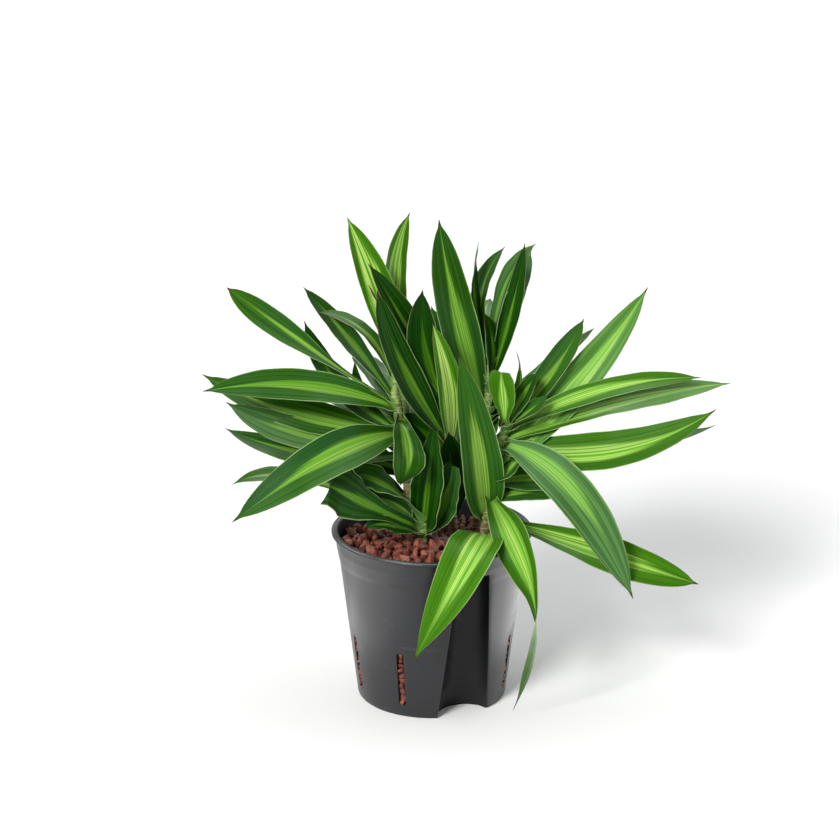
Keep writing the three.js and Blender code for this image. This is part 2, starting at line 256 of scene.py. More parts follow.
# Where the tip of a leaf is folded back, as the share of its length and the angle in degrees
FOLDS = {
    "low_shoot": {2: (0.8, 150), 4: (0.86, 120), 5: (0.86, 140)},
    "right_stem": {0: (0.84, 150)},
}

# How fresh a leaf is, from 0 for old dark green to 1 for new lime green, where it isn't the usual value
FRESHNESS = {
    "left_stem": {
        0: 0.45, 1: 0.3, 2: 0.45, 4: 0.4, 6: 0.4, 7: 0.45, 8: 0.3, 9: 0.4, 10: 0.1, 11: 0.4, 12: 0.1,
        13: 0.05, 14: 0.1,
    },
    "low_shoot": {1: 0.3, 2: 0.25, 3: 0.2, 4: 0.1, 5: 0.3},
    "right_stem": {
        0: 0.75, 3: 0.4, 4: 0.7, 5: 0.6, 6: 0.65, 7: 0.6, 8: 0.42, 9: 0.7, 10: 0.6, 11: 0.85, 12: 0.4,
        13: 0.3, 17: 0.52,
    },
    "centre_stem": {0: 0.2, 1: 0.25, 2: 0, 3: 0.95, 4: 0, 5: 0, 6: 0.1},
    "back_right_stem": {0: 0.3, 1: 0.38, 3: 0.2, 4: 0.1, 5: 0.1},
    "back_left_stem": {0: 1, 1: 1, 11: 0.2},
}

# How much painted pale sheen lies on a leaf, from 0 to 1, where there is any
SHEEN_PAINT = {
    "left_stem": {4: 0.3},
    "right_stem": {4: 0.35, 8: 0.4},
    "back_right_stem": {3: 0.25},
}

# Colours as linear red, green and blue. A pair goes from old leaves to new ones, or from dark to pale.
LEAF_MARGINS = (0.003, 0.028, 0.001), (0.048, 0.175, 0.004)
LEAF_MARGIN_LINES = (0.012, 0.070, 0.003), (0.085, 0.260, 0.012)
LEAF_BANDS = (0.020, 0.085, 0.002), (0.150, 0.40, 0.032)
LEAF_STRIPES = (0.10, 0.26, 0.010), (0.52, 0.77, 0.165)
# The bluish green of the painted sheen patches on leaf margins
LEAF_SHEEN_MARGIN = (0.021, 0.085, 0.024)
LEAF_DARK_HAIR = (0.010, 0.055, 0.002)
LEAF_RIB = (0.05, 0.16, 0.012)
LEAF_FOOT = (0.15, 0.29, 0.04)
# The pale colour of the painted sheen on some leaves
LEAF_SHEEN_PAINT = (0.34, 0.66, 0.24)
LEAF_UNDERSIDE = (0.13, 0.24, 0.08)
LEAF_EDGE_LINE = (0.33, 0.50, 0.19)
LEAF_RUST = (0.12, 0.045, 0.02)
LEAF_DRY_TIP = (0.045, 0.032, 0.012)
CANE_BARK = (0.13, 0.09, 0.035), (0.27, 0.21, 0.10)
CANE_GREENS = (0.11, 0.21, 0.03), (0.25, 0.39, 0.09)
CANE_SCAR = (0.46, 0.40, 0.22)
POT_PLASTIC = (0.010, 0.0105, 0.012), (0.015, 0.0155, 0.018)
POT_SCUFF = (0.09, 0.09, 0.095)
# The near-black of the painted shade in the pot's recess
POT_RECESS_SHADE = (0.004, 0.004, 0.0045)
CLAY_TONES = (0.10, 0.020, 0.013), (0.34, 0.095, 0.055)
CLAY_DUST = (0.44, 0.18, 0.11)
# The dark of the clay's pores, partly painted shade in their pits
CLAY_PORE_SHADE = (0.035, 0.008, 0.007)
FLOOR_GREY = (0.97, 0.97, 0.97)
SUN_WHITE = (1, 0.99, 0.975)
SKY_WHITE = (0.98, 0.99, 1)

# The camera's place in metres, its lens in millimetres and how many degrees it looks down
CAMERA_PLACE = (-0.0130, -2.3945, 1.0845)
CAMERA_LENS = 100
CAMERA_DIP = 17.832


def around(angle, distance):
    """The x and y of a place given by its angle from the front and its distance from the axis"""
    return distance * math.sin(math.radians(angle)), -distance * math.cos(math.radians(angle))


def lerp(a, b, t):
    return a + (b - a) * t


def smooth_step(x):
    x = np.clip(x, 0, 1)
    return x * x * (3 - 2 * x)


def curve_through(pairs, x):
    """Values of the smooth curve through (place, value) pairs at the places x"""
    places, values = (np.array(column, float) for column in zip(*pairs))
    slopes = np.gradient(values, places)
    i = np.clip(np.searchsorted(places, x, side="right") - 1, 0, len(places) - 2)
    span = places[i + 1] - places[i]
    t = np.clip((x - places[i]) / span, 0, 1)
    start = values[i] * (1 + 2 * t) * (1 - t) ** 2 + slopes[i] * span * t * (1 - t) ** 2
    end = values[i + 1] * t * t * (3 - 2 * t) + slopes[i + 1] * span * t * t * (t - 1)
    return start + end


# Mesh helpers

class Form:
    """Points in millimetres, faces and values on the points, which grow into one mesh"""

    def __init__(self):
        self.points = []
        self.faces = []
        self.values = {}

    def add(self, points, faces=(), **values):
        """Adds points, values on them and faces that count from the first of them, and returns its index"""
        first = len(self.points)
        self.points.extend(tuple(point) for point in points)
        self.faces.extend(tuple(first + corner for corner in face) for face in faces)
        for name, value in values.items():
            self.values.setdefault(name, []).extend(np.broadcast_to(value, len(points)))
        return first


def grid_faces(rows, columns, closed=False, flip=False):
    """Quads of a grid of points stored row by row, facing along columns x rows"""
    faces = []
    for row in range(rows - 1):
        for column in range(columns if closed else columns - 1):
            a = row * columns + column
            b = row * columns + (column + 1) % columns
            faces.append((a, b, b + columns, a + columns))
    return [face[::-1] for face in faces] if flip else faces


def add_object(name, data):
    made = bpy.data.objects.new(name, data)
    bpy.context.scene.collection.objects.link(made)
    return made


def make_piece(name, form, material, node, sharp=40):
    """A smooth-shaded piece of the object that stands for a CAD node"""
    mesh = bpy.data.meshes.new(name)
    mesh.from_pydata((np.array(form.points) * MM).tolist(), [], form.faces)
    for attribute, values in form.values.items():
        layer = mesh.attributes.new(attribute, "FLOAT", "POINT")
        layer.data.foreach_set("value", np.array(values, np.float32))
    mesh.shade_smooth()
    mesh.set_sharp_from_angle(angle=math.radians(sharp))
    mesh.materials.append(material)
    piece = add_object(name, mesh)
    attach(piece, "root")
    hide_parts(node)
    return piece


# Material helpers

class Nodes:
    """Short ways to add nodes to a tree and to join them"""

    def __init__(self, tree):
        self.tree = tree

    def node(self, kind, inputs=None, **settings):
        """A new node with its settings, and with a value or another node's output on each of the inputs"""
        made = self.tree.nodes.new("ShaderNode" + kind)
        for key, value in settings.items():
            setattr(made, key, value)
        for key, value in (inputs or {}).items():
            self.feed(made.inputs[key], value)
        return made

    def feed(self, socket, value):
        if isinstance(value, bpy.types.NodeSocket):
            self.tree.links.new(value, socket)
        elif isinstance(value, tuple) and socket.type == "RGBA":
            socket.default_value = (*value, 1)
        else:
            socket.default_value = value

    def attribute(self, name):
        return self.node("Attribute", attribute_name=name).outputs["Fac"]

    def math(self, operation, *values):
        return self.node("Math", dict(enumerate(values)), operation=operation).outputs[0]

    def fade(self, value, start, end, low=0.0, high=1.0):
        """A smooth change from low to high as value goes from start to end"""
        inputs = {"Value": value, "From Min": start, "From Max": end, "To Min": low, "To Max": high}
        return self.node("MapRange", inputs, interpolation_type="SMOOTHSTEP").outputs[0]

    def mix(self, factor, a, b):
        """The colour a where factor is 0, b where it is 1 and a mix of them in between"""
        return self.node("Mix", {0: factor, 6: a, 7: b}, data_type="RGBA").outputs[2]

    def vector(self, x, y, z):
        return self.node("CombineXYZ", {0: x, 1: y, 2: z}).outputs[0]

    def noise(self, vector, scale, detail=2.0, roughness=0.5):
        inputs = {"Vector": vector, "Scale": scale, "Detail": detail, "Roughness": roughness}
        return self.node("TexNoise", inputs).outputs["Fac"]

    def place(self):
        return self.node("TexCoord").outputs["Object"]


class Shader(Nodes):
    """The nodes of a new material with a Principled shader"""

    def __init__(self, name):
        self.material = bpy.data.materials.new(name)
        self.material.use_nodes = True
        super().__init__(self.material.node_tree)
        self.surface = self.tree.nodes["Principled BSDF"]

    def bump(self, height, distance, strength):
        inputs = {"Height": height, "Distance": distance, "Strength": strength}
        self.feed(self.surface.inputs["Normal"], self.node("Bump", inputs).outputs[0])


def leaf_material():
    """Dark green margins with painted bluish sheen in patches, lime bands along the middle, a pale edge line,
    a painted pale sheen on some leaves and a waxy finish
    """
    s = Shader("striped_leaf")
    across = s.attribute("across")
    along = s.attribute("along")
    seed = s.attribute("seed")
    fresh = s.attribute("fresh")
    upper = s.attribute("upper")
    bloom = s.attribute("bloom")
    off_rib = s.math("ABSOLUTE", across)
    shift = s.math("MULTIPLY", seed, 31.7)

    def streaks(columns, rows, detail):
        x = s.math("MULTIPLY_ADD", across, columns, shift)
        return s.noise(s.vector(x, s.math("MULTIPLY", along, rows), shift), 1.0, detail)

    bands = streaks(columns=3.4, rows=0.35, detail=1.0)
    lines = streaks(columns=9.0, rows=0.3, detail=0.0)
    hairs = streaks(columns=20.0, rows=0.6, detail=1.0)

    # The zone of the light band, ragged and leaning to one side, wider on fresher leaves
    lean = s.math("MULTIPLY", s.math("SUBTRACT", seed, 0.5), 0.22)
    off_band = s.math("ABSOLUTE", s.math("ADD", across, lean))
    ragged = s.math("ADD", s.math("MULTIPLY", bands, 0.5), s.math("MULTIPLY", lines, 0.2))
    wander = s.math("ADD", s.math("ADD", off_band, ragged), s.fade(along, 0.35, 0.95, -0.36, 0.04))
    reach = s.math("ADD", s.fade(fresh, 0, 0.8, 0.1, 0.34), s.fade(fresh, 0.85, 1, 0, 0.3))
    zone = s.fade(wander, s.math("ADD", reach, 0.22), reach)

    # The margin, with a painted bluish sheen in patches on middling leaves
    margin = s.mix(s.fade(fresh, 0.15, 0.9), *LEAF_MARGINS)
    middling = s.math("MULTIPLY", s.fade(fresh, 0.2, 0.35), s.fade(fresh, 0.6, 0.42, 0, 0.7))
    sheen_patches = s.math("MULTIPLY", s.fade(s.noise(s.place(), 9.0, 1.0), 0.4, 0.6), middling)
    margin = s.mix(sheen_patches, margin, LEAF_SHEEN_MARGIN)
    margin = s.mix(s.fade(lines, 0.45, 0.6, 0, 0.55), margin, s.mix(fresh, *LEAF_MARGIN_LINES))

    # The band with its bright stripes and hairs
    stripe = s.mix(s.fade(fresh, 0, 1), *LEAF_STRIPES)
    bright = s.math("MULTIPLY", s.fade(lines, 0.47, 0.54), s.fade(fresh, 0, 1, 0.55, 1.0))
    band = s.mix(bright, s.mix(s.fade(fresh, -0.1, 0.65), *LEAF_BANDS), stripe)
    band = s.mix(s.fade(hairs, 0.46, 0.38, 0, 0.4), band, stripe)

    colour = s.mix(zone, margin, band)
    colour = s.mix(s.fade(hairs, 0.47, 0.6, 0, 0.34), colour, LEAF_DARK_HAIR)
    colour = s.mix(s.fade(off_rib, 0.022, 0.008, 0, 0.35), colour, LEAF_RIB)
    colour = s.mix(s.fade(along, 0.08, 0.0, 0, 0.6), colour, LEAF_FOOT)
    # Painted pale sheen on the leaves that have it, strongest along the lines
    sheen_paint_mask = s.math("MULTIPLY", bloom, s.fade(lines, 0.38, 0.6, 0.25, 0.5))
    colour = s.mix(sheen_paint_mask, colour, LEAF_SHEEN_PAINT)
    colour = s.mix(upper, s.mix(0.35, colour, LEAF_UNDERSIDE), colour)
    colour = s.mix(s.fade(off_rib, 0.955, 0.975, 0, 0.75), colour, LEAF_EDGE_LINE)
    rust = s.math("MULTIPLY", s.fade(off_rib, 0.975, 0.99), s.fade(along, 0.5, 0.9))
    colour = s.mix(rust, colour, LEAF_RUST)
    colour = s.mix(s.fade(along, 0.965, 0.985, 0, 0.9), colour, LEAF_DRY_TIP)
    s.feed(s.surface.inputs["Base Color"], colour)
    s.feed(s.surface.inputs["Roughness"], s.fade(s.noise(s.place(), 45.0), 0.3, 0.7, 0.34, 0.45))
    s.surface.inputs["Specular IOR Level"].default_value = 0.045
    s.bump(s.math("ADD", s.math("MULTIPLY", hairs, 0.5), lines), 0.0004, 0.5)
    return s.material


def cane_material():
    """Green young cane that turns to olive-brown bark with pale leaf scars"""
    s = Shader("ringed_cane")
    grain = s.noise(s.place(), 220.0, 3.0)
    spots = s.fade(grain, 0.35, 0.7)
    bark = s.mix(spots, *CANE_BARK)
    green = s.mix(spots, *CANE_GREENS)
    colour = s.mix(s.fade(s.attribute("height"), 0.35, 0.85), bark, green)
    colour = s.mix(s.fade(s.attribute("scar"), 0.35, 0.9, 0, 0.75), colour, CANE_SCAR)
    s.feed(s.surface.inputs["Base Color"], colour)
    s.surface.inputs["Roughness"].default_value = 0.6
    s.bump(grain, 0.0005, 0.6)
    return s.material


def pot_material():
    """Satin charcoal plastic with a faint moulded grain and a few dull scuffs, darkened with painted shade in
    the recess
    """
    s = Shader("charcoal_plastic")
    place = s.place()
    recess = s.attribute("recess")
    cloud = s.noise(place, 14.0, 3.0, 0.6)
    grain = s.noise(place, 900.0, 2.0)
    stretched = s.node("Mapping", {"Vector": place, "Scale": (1.0, 1.0, 7.0)}).outputs[0]
    scuff = s.fade(s.noise(stretched, 26.0, 5.0, 0.7), 0.60, 0.74)
    colour = s.mix(cloud, *POT_PLASTIC)
    colour = s.mix(s.math("MULTIPLY", scuff, 0.35), colour, POT_SCUFF)
    # Painted shade in the recess: darker colour and less gloss there
    colour = s.mix(s.math("MULTIPLY", recess, 0.6), colour, POT_RECESS_SHADE)
    s.feed(s.surface.inputs["Base Color"], colour)
    s.feed(s.surface.inputs["Specular IOR Level"], s.fade(recess, 0, 1, 0.5, 0.25))
    rough = s.math("ADD", s.fade(cloud, 0.3, 0.7, 0.34, 0.42), s.math("MULTIPLY", scuff, 0.12))
    s.feed(s.surface.inputs["Roughness"], rough)
    s.bump(s.math("ADD", grain, s.math("MULTIPLY", cloud, 1.5)), 0.00012, 0.5)
    return s.material


def clay_material():
    """Porous red-brown fired clay, lighter and dustier on some granules, with painted shade in its pits"""
    s = Shader("fired_clay")
    place = s.place()
    pores = s.noise(place, 520.0, 4.0, 0.7)
    patch = s.noise(place, 120.0, 2.0)
    colour = s.mix(s.attribute("tone"), *CLAY_TONES)
    colour = s.mix(s.fade(patch, 0.45, 0.75, 0, 0.5), colour, CLAY_DUST)
    # Dark pores where the bump dips: partly the clay's own pores, partly painted shade in the pits
    colour = s.mix(s.fade(pores, 0.50, 0.36), colour, CLAY_PORE_SHADE)
    s.feed(s.surface.inputs["Base Color"], colour)
    s.feed(s.surface.inputs["Roughness"], s.fade(patch, 0.4, 0.6, 0.32, 0.6))
    s.surface.inputs["Specular IOR Level"].default_value = 0.35
    s.bump(pores, 0.0011, 0.8)
    return s.material


def floor_material():
    s = Shader("pale_floor")
    s.feed(s.surface.inputs["Base Color"], FLOOR_GREY)
    s.surface.inputs["Roughness"].default_value = 0.9
    s.surface.inputs["Specular IOR Level"].default_value = 0.1
    return s.material


# The culture pot

def wall_columns():
    """How each column of the pot's wall finds its angle: by the recess, beside it, at a slit or fixed"""
    clear = 26
    slit_clear = 3.6
    spacing = 1.75
    slit_slope = 0.6
    columns = [("recess", share) for share in np.linspace(-1, 1, 35)]
    columns += [("beside", share, clear) for share in (0.3, 0.65)]
    fixed = np.arange(clear, 360 - clear + 0.1, spacing)
    slits = [(angle - RECESS_ANGLE) % 360 for angle in SLIT_ANGLES]
    rest = [("fixed", angle) for angle in fixed if min(abs(angle - slit) for slit in slits) > slit_clear]
    for slit in slits:
        rest += [("slit", slit, side * SLIT_WIDTH / 2) for side in (-1, 1)]
    rest.sort(key=lambda column: column[1] + (column[2] * slit_slope if column[0] == "slit" else 0))
    return columns + rest + [("beside", share, -clear) for share in (0.65, 0.3)]


def wall_point(column, radius, z, margin, recessed):
    """A column's place on a row of the wall, with the recess cut in where the row has it"""
    share = np.clip(z / RECESS_TOP, 0, 1)
    distance = lerp(RECESS_FOOT["distance"], RECESS_HEAD["distance"], share)
    dent = lerp(RECESS_FOOT["radius"], RECESS_HEAD["radius"], share) + margin
    corner = math.acos((distance**2 + radius**2 - dent**2) / (2 * distance * radius))
    if column[0] == "recess" and recessed:
        turn = column[1] * math.acos((distance**2 + dent**2 - radius**2) / (2 * distance * dent))
        inward = distance - dent * math.cos(turn)
        angle = math.degrees(math.atan2(dent * math.sin(turn), inward))
        return *around(RECESS_ANGLE + angle, math.hypot(dent * math.sin(turn), inward)), z
    angle = column[1]
    if column[0] == "recess":
        angle = column[1] * math.degrees(corner)
    elif column[0] == "beside":
        angle = lerp(math.copysign(math.degrees(corner), column[2]), column[2], column[1])
    elif column[0] == "slit":
        angle += math.degrees(math.asin(column[2] / radius))
    return *around(RECESS_ANGLE + angle, radius), z


def outer_radius(z):
    heights = [0, POT_HEIGHT - SHOULDER_DROP, POT_HEIGHT - BAND_DROP, POT_HEIGHT]
    return float(np.interp(z, heights, [BASE_RADIUS, SHOULDER_RADIUS, BAND_RADIUS - BAND_TAPER, BAND_RADIUS]))


def pot_rows():
    """The wall's profile as (radius, z, margin, recessed), from the base up outside and down inside"""
    step = POT_HEIGHT - SHOULDER_DROP
    band = POT_HEIGHT - BAND_DROP
    ceiling = RECESS_TOP + WALL
    mouth = outer_radius(POT_HEIGHT) - WALL
    slit_rows = list(np.linspace(SLIT_FOOT, SLIT_TOP, 6))
    plain_rows = [90, 104, 118, 132, 145, 154, step - 0.5]

    # The base's rounded edge, the wall up to its step, and the collar
    rows = [(BASE_RADIUS - 1.2, 0, 0, True), (BASE_RADIUS - 0.3, 0.4, 0, True)]
    rows += [(outer_radius(z), z, 0, True) for z in [1.4, 7, *slit_rows, *plain_rows]]
    rows += [(SHOULDER_RADIUS + 0.5, step + 0.7, 0, True), (SHOULDER_RADIUS + 0.9, step + 2, 0, True)]
    rows += [(outer_radius(RECESS_TOP), RECESS_TOP, 0, recessed) for recessed in (True, False)]
    rows += [(outer_radius(band) + r, band + z, 0, False) for r, z in [(-0.2, -0.5), (0.15, 0.6)]]
    rows += [(BAND_RADIUS - 0.1, z, 0, False) for z in (band + 4, POT_HEIGHT - LIP_HEIGHT - 1.2)]

    # The rolled lip and the mouth
    lip = [(-4.6, -3.4), (-3.4, -3.1), (-1, -3), (-0.25, -2.7), (0, -2.1), (0, -1), (-0.3, -0.35), (-0.9, 0)]
    rows += [(RIM_RADIUS + r, POT_HEIGHT + z, 0, False) for r, z in lip]
    rows += [(mouth + r, POT_HEIGHT + z, 0, False) for r, z in [(1.1, 0), (0.3, -0.3), (0, -1.2)]]

    # The inside, down to the floor
    rows += [(outer_radius(z) - WALL, z, WALL, False) for z in (POT_HEIGHT - 9, band)]
    rows += [(outer_radius(ceiling) - WALL, ceiling, WALL, recessed) for recessed in (False, True)]
    inner_rows = [step, 140, 115, 92, *slit_rows[::-1], FLOOR_THICKNESS]
    return rows + [(outer_radius(z) - WALL, z, WALL, True) for z in inner_rows]


def add_disc(form, first, count, z):
    """Closes the ring of points that starts at first with a flat disc at its height"""
    rim = np.array(form.points[first:first + count])
    previous = first
    for share in (0.8, 0.45, 0.15):
        start = form.add([(x * share, y * share, z) for x, y, _ in rim], recess=0)
        form.faces += [(previous + i, start + i, start + j, previous + j) for i, j in around_ring(count)]
        previous = start
    centre = form.add([(0, 0, z)], recess=0)
    form.faces += [(previous + i, centre, previous + j) for i, j in around_ring(count)]


def around_ring(count):
    return [(i, (i + 1) % count) for i in range(count)]


def slit_ring(rows, column, count):
    """The points round a slit on one skin of the wall, along its left side and back along its right"""
    left = [row * count + column for row in rows]
    return left + [point + 1 for point in left[::-1]]


def culture_pot():
    """The pot's wall, rim and floor as one skin, with the recess dented in and the root slits cut through"""
    columns = wall_columns()
    rows = pot_rows()
    count = len(columns)
    in_slit = [SLIT_FOOT - 0.1 < z < SLIT_TOP + 0.1 for _, z, _, _ in rows]
    slits = [
        i for i in range(count - 1)
        if columns[i][0] == columns[i + 1][0] == "slit" and columns[i][1] == columns[i + 1][1]
    ]
    # The recess's points, which get its painted shade; its edge columns are left out
    recess_shade_mask = [[row[3] and column[0] == "recess" and abs(column[1]) < 1 for column in columns] for row in rows]
    form = Form()
    form.add([wall_point(column, *row) for row in rows for column in columns], recess=np.ravel(recess_shade_mask))
    for i, face in enumerate(grid_faces(len(rows), count, closed=True)):
        row, column = divmod(i, count)
        if not (in_slit[row] and in_slit[row + 1] and column in slits):
            form.faces.append(face)
    outside = [i for i, row in enumerate(rows) if in_slit[i] and row[2] == 0]
    inside = [i for i, row in enumerate(rows) if in_slit[i] and row[2] > 0]
    for column in slits:
        outer = slit_ring(outside, column, count)
        inner = slit_ring(inside[::-1], column, count)
        form.faces += [(outer[i], outer[j], inner[j], inner[i]) for i, j in around_ring(len(outer))]
    add_disc(form, 0, count, 0)
    add_disc(form, (len(rows) - 1) * count, count, FLOOR_THICKNESS)
    return form


def tidy_pot(piece):
    """Merges the points that meet at the recess's ceiling, faces the skin outwards and rounds its edges"""
    skin = bmesh.new()
    skin.from_mesh(piece.data)
    bmesh.ops.remove_doubles(skin, verts=skin.verts, dist=MERGE_DISTANCE * MM)
    bmesh.ops.recalc_face_normals(skin, faces=skin.faces)
    least = math.radians(BEVEL_ANGLE)
    corners = [edge for edge in skin.edges if edge.is_manifold and edge.calc_face_angle() > least]
    bmesh.ops.bevel(skin, geom=corners, offset=BEVEL * MM, segments=2, profile=0.5, affect="EDGES")
    skin.to_mesh(piece.data)
    skin.free()
    piece.data.shade_smooth()
    piece.data.set_sharp_from_angle(angle=least)


# The clay granules

def bed_height(x, y):
    """The height of the bed's top, with its crown and its heaps"""
    crown = BED_CROWN * math.exp(-(x * x + y * y) / BED_CROWN_RADIUS**2)
    heaps = 0
    for heap in HEAPS:
        heaps += heap["height"] * math.exp(-((math.dist((x, y), heap["at"]) / heap["radius"]) ** 2))
    return BED_EDGE + crown + heaps


def stone_shapes(rng):
    """Unit-sized irregular stones: balls dented by noise and flattened by chance planes"""
    ball = bmesh.new()
    bmesh.ops.create_icosphere(ball, subdivisions=3, radius=1)
    points = [vertex.co.copy() for vertex in ball.verts]
    faces = [[vertex.index for vertex in face.verts] for face in ball.faces]
    ball.free()
    shapes = []
    for _ in range(STONE_SHAPES):
        offset = Vector([rng.uniform(-50, 50) for _ in range(3)])
        planes = [
            (Vector([rng.gauss(0, 1) for _ in range(3)]).normalized(), rng.uniform(0.45, 0.75))
            for _ in range(9)
        ]
        stretch = Vector((1.12, rng.uniform(0.8, 1), rng.uniform(0.65, 0.85)))
        shape = []
        for point in points:
            swell = 1 + 0.3 * noise.noise(point * 1.4 + offset)
            swell += 0.1 * noise.noise(point * 4 + offset)
            moved = point * swell
            for normal, reach in planes:
                moved = moved - normal * max(0, moved.dot(normal) - reach) * 0.95
            shape.append(moved * stretch)
        shapes.append(np.array(shape))
    return shapes, faces


def top_places(rng):
    """Centres and radii of the granules on top, in a sunflower pattern with some loose ones on it"""
    golden = math.pi * (3 - math.sqrt(5))
    recess_head = around(RECESS_ANGLE, RECESS_HEAD["distance"])
    for i in range(TOP_STONES + LOOSE_STONES):
        loose = i >= TOP_STONES
        radius = STONE_RADIUS * rng.uniform(0.6, 1.3)
        share = rng.random() if loose else (i + 0.5) / TOP_STONES
        distance = min(BED_RADIUS * math.sqrt(share) + rng.uniform(-1.5, 1.5), BED_RADIUS + 1.5 - radius)
        turn = i * golden + rng.uniform(-0.02, 0.02)
        x, y = distance * math.cos(turn), distance * math.sin(turn)
        z = bed_height(x, y) + rng.uniform(-1.6, 1) + (radius * 0.8 if loose else -radius * 0.3)
        if math.dist((x, y), recess_head) < RECESS_HEAD["radius"] + radius + 2:
            z = max(z, RECESS_TOP + WALL + radius * 0.8)
        yield (x, y, z), radius


def slit_places(rng):
    """Centres and radii of the granules that show through the root slits"""
    for angle in SLIT_ANGLES:
        z = SLIT_FOOT - 2
        while z < SLIT_TOP:
            radius = rng.uniform(*SLIT_STONE_RADII)
            z += radius * 0.8
            turn = angle + rng.uniform(-1, 1)
            yield (*around(turn, outer_radius(z) - 0.3 - radius * 0.7), z), radius
            z += radius * 0.75


def granules():
    """The visible stones over a core that fills the pot, in the darkest clay tone as painted shade in the
    gaps between the stones
    """
    rng = random.Random(7)
    form = Form()
    columns = wall_columns()[::3]
    count = len(columns)
    inset = WALL + 2.5
    core = []
    for z in (4, 40, 80, 120, 150, BED_EDGE - CORE_DEPTH):
        core += [wall_point(column, outer_radius(z) - inset, z, inset, True) for column in columns]
    rim = core[-count:]
    for share in (0.86, 0.7, 0.5, 0.3, 0.1, 0.02):
        core += [(x * share, y * share, bed_height(x * share, y * share) - CORE_DEPTH) for x, y, _ in rim]
    core_faces = grid_faces(len(core) // count, count, closed=True)
    core_faces += [tuple(len(core) - count + i for i in range(count)), tuple(range(count))[::-1]]
    # The core has the darkest clay tone, as painted shade where it shows between the stones
    form.add(core, core_faces, tone=0)
    shapes, faces = stone_shapes(rng)
    for centre, radius in [*top_places(rng), *slit_places(rng)]:
        spin = Vector([rng.gauss(0, 1) for _ in range(3)])
        turn = np.array(Vector((0, 0, 1)).rotation_difference(spin).to_matrix())
        form.add(rng.choice(shapes) @ turn.T * radius + np.array(centre), faces, tone=rng.uniform(0.05, 1))
    return form


# The canes and leaves

def stem_middle(bends, z):
    """The middle of a stem at a height, measured from its foot, along the same bends as its solid"""
    across, back, heights = zip((0, 0, 0), *bends)
    return np.stack([np.interp(z, heights, across), np.interp(z, heights, back), z], -1)


def cane(form, foot, bends, rng):
    """A cane with a raised scar where each old leaf has fallen, narrowed at its top"""
    top = bends[-1][2] + 3
    heights = np.arange(CANE_START, top, 1.0)
    turns = np.linspace(0, 2 * math.pi, CANE_SIDES, endpoint=False)
    scars = np.arange(CANE_START, top, SCAR_SPACING)
    scars = scars + [rng.uniform(-1.2, 1.2) for _ in scars]
    leans = np.array([rng.uniform(0, 2 * math.pi) for _ in scars])
    z = heights[:, None] + 0 * turns
    above = z[..., None] - scars - SCAR_TILT * np.cos(turns[None, :, None] - leans)
    ridge = np.exp(-((above / 0.7) ** 2)).sum(-1)
    hollow = np.exp(-(((above - 1.6) / 1.1) ** 2)).sum(-1)
    share = (heights - CANE_START) / (top - CANE_START)
    radius = lerp(CANE_FOOT_RADIUS, CANE_TOP_RADIUS, share) * np.where(top - heights < 4, 0.6, 1)
    radius = radius[:, None] + SCAR_HEIGHT * ridge - SCAR_HOLLOW * hollow
    middle = stem_middle(bends, heights) + np.array([*foot, 0])
    x = middle[:, 0, None] + radius * np.cos(turns)
    y = middle[:, 1, None] + radius * np.sin(turns)
    points = np.stack([x, y, z], -1).reshape(-1, 3)
    faces = grid_faces(len(heights), CANE_SIDES, closed=True)
    last = len(points) - CANE_SIDES
    faces += [tuple(range(CANE_SIDES))[::-1], tuple(last + i for i in range(CANE_SIDES))]
    form.add(points, faces, scar=ridge.ravel(), height=np.repeat(share, CANE_SIDES))


def rib_frames(root, leaf, t):
    """Places along a leaf's rib, a Bezier curve with a sway, each with its forward, side and upward ways"""
    angle = math.radians(leaf.heading)
    side = np.array([-math.sin(angle), math.cos(angle), 0])
    chord = np.array([math.cos(angle) * leaf.reach, math.sin(angle) * leaf.reach, leaf.rise])
    up = np.cross(chord, side)
    up *= math.copysign(1, up[2]) / np.linalg.norm(up)
    bend = chord * leaf.crest + up * 2 * leaf.arch + side * 2 * leaf.bow
    t = t[:, None]
    place = root + bend * 2 * t * (1 - t) + chord * t * t + side * leaf.sway * np.sin(2 * math.pi * t)
    ahead = bend * (2 - 4 * t) + chord * 2 * t + side * 2 * math.pi * leaf.sway * np.cos(2 * math.pi * t)
    ahead /= np.linalg.norm(ahead, axis=1, keepdims=True)
    across = -side + ahead * (ahead @ side)[:, None]
    across /= np.linalg.norm(across, axis=1, keepdims=True)
    above = np.cross(across, ahead)
    turn = np.radians(lerp(leaf.root_turn, leaf.tip_turn, smooth_step(t)))
    across, above = (
        across * np.cos(turn) - np.cross(ahead, across) * np.sin(turn),
        above * np.cos(turn) - np.cross(ahead, above) * np.sin(turn),
    )
    return place, ahead, across, above


def fold_back(frames, t, start, angle):
    """Bends the frames of a rib backwards from a share of its length on"""
    place, ahead, across, above = frames
    bend = np.radians(angle) * smooth_step((t - start) / FOLD_LENGTH)[:, None]
    folded = ahead * np.cos(bend) - above * np.sin(bend)
    steps = np.linalg.norm(np.diff(place, axis=0), axis=1, keepdims=True) * (folded[1:] + folded[:-1]) / 2
    walked = place[0] + np.concatenate([np.zeros((1, 3)), np.cumsum(steps, axis=0)])
    first = np.searchsorted(t, start)
    place = np.where(t[:, None] > start, walked - walked[first] + place[first], place)
    return place, folded, across, above * np.cos(bend) + ahead * np.sin(bend)


def skin_faces(rows, columns):
    """The faces of a thin closed sheet: a grid, the same grid beneath it and the rim that joins them"""
    under = rows * columns
    faces = grid_faces(rows, columns)
    faces += [tuple(under + corner for corner in face) for face in grid_faces(rows, columns, flip=True)]
    rim = [row * columns for row in range(rows)]
    rim += [under - columns + column for column in range(1, columns)]
    rim += [row * columns + columns - 1 for row in range(rows - 2, -1, -1)]
    rim += [column for column in range(columns - 2, 0, -1)]
    return faces + [(rim[i], rim[j], under + rim[j], under + rim[i]) for i, j in around_ring(len(rim))]


